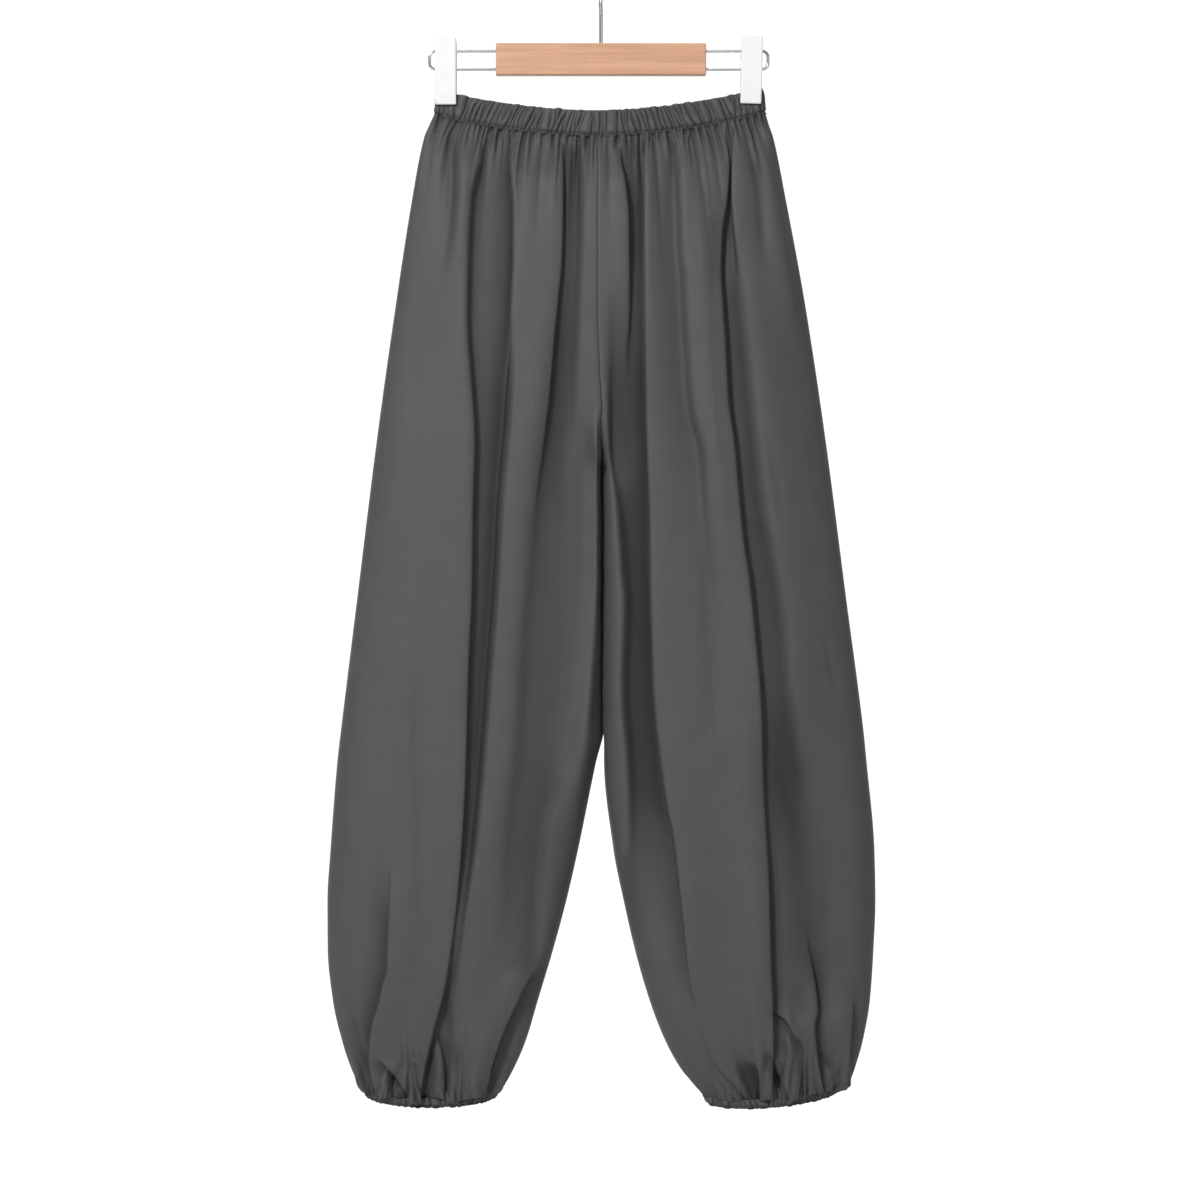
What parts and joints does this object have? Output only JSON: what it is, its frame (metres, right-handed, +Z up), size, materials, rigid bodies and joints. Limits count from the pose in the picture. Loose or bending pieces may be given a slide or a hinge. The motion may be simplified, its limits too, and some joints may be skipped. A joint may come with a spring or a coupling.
{
  "type": "wide-leg trousers on a clip hanger",
  "caption": "Balloon-leg pull-on trousers with a gathered elastic waistband and gathered hems, hung by sliding clips from a wood and wire hanger.",
  "frame": {"origin": "the inner top of the hanger's hook, where it rests on a rod", "axes": "+Z up along the hanging trousers, +X the wearer's left leg, -Y the front"},
  "size_m": [0.5478, 0.0994, 1.1612],
  "materials": {
    "woven_cloth": "smooth closely woven charcoal cloth with a soft sheen",
    "elastic_casing": "the same cloth gathered over elastic",
    "beech_wood": "pale pinkish wood under a satin varnish",
    "steel_wire": "bright plated wire",
    "white_plastic": "white moulded plastic, satin"
  },
  "bodies": {
    "root": {"front_right_leg": "woven_cloth", "front_left_leg": "woven_cloth", "back_right_leg": "woven_cloth", "back_left_leg": "woven_cloth", "waistband": "elastic_casing", "right_hem_casing": "elastic_casing", "left_hem_casing": "elastic_casing", "hanger_bar": "beech_wood", "hanger_hook": "steel_wire", "hanger_arm_right": "steel_wire", "hanger_arm_left": "steel_wire", "clip_right_front": "white_plastic", "clip_right_back": "white_plastic", "clip_right_pin": "steel_wire", "clip_right_spring": "steel_wire", "clip_left_front": "white_plastic", "clip_left_back": "white_plastic", "clip_left_pin": "steel_wire", "clip_left_spring": "steel_wire"}
  },
  "joints": []
}
